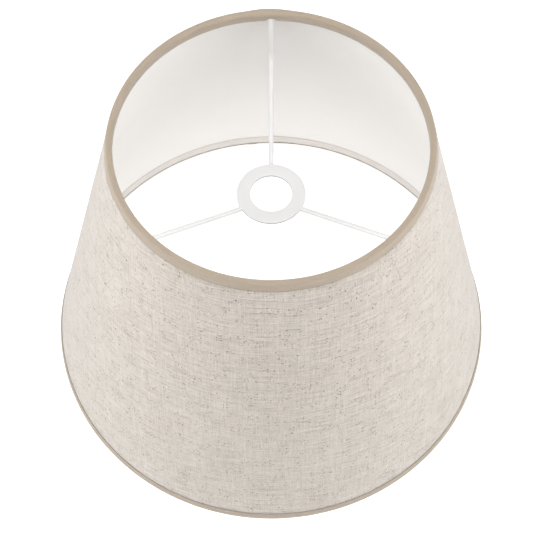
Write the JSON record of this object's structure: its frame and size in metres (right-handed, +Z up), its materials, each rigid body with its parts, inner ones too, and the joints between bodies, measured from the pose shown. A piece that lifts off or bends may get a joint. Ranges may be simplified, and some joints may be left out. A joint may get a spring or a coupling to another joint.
{
  "type": "lamp shade",
  "caption": "Tapered drum shade of woven fabric laminated on a stiff lining, bound on wire rings, hung from a washer fitter by thin arms.",
  "frame": {"origin": "middle of the bottom opening, on the plane the shade stands on", "axes": "+Z up along the shade's axis; +Y is the back, where the sheets lap behind the back arm; the front, opposite the lap, faces -Y"},
  "size_m": [0.5056, 0.5077, 0.37],
  "materials": {
    "ring_wire": "drawn steel wire, hidden inside the bindings",
    "powder_coat": "white powder coat with a fine orange-peel, satin",
    "lining": "off-white satin film that the fabric is laminated on",
    "cover_fabric": "oatmeal linen-look plain weave with slubs and dark flecks",
    "seam_tape": "clear double-sided tape inside the lap",
    "binding": "taupe cotton tape, folded over the rings",
    "pale_tape": "off-white edge tape inside the bottom ring"
  },
  "bodies": {
    "root": {"top_ring": "ring_wire", "bottom_ring": "ring_wire", "spoke_back": "powder_coat", "spoke_left": "powder_coat", "spoke_right": "powder_coat", "fitter_washer": "powder_coat", "lining": "lining", "fabric_cover": "cover_fabric", "seam_tape": "seam_tape", "top_binding": "binding", "bottom_binding": "binding", "bottom_inner_tape": "pale_tape"}
  },
  "joints": []
}
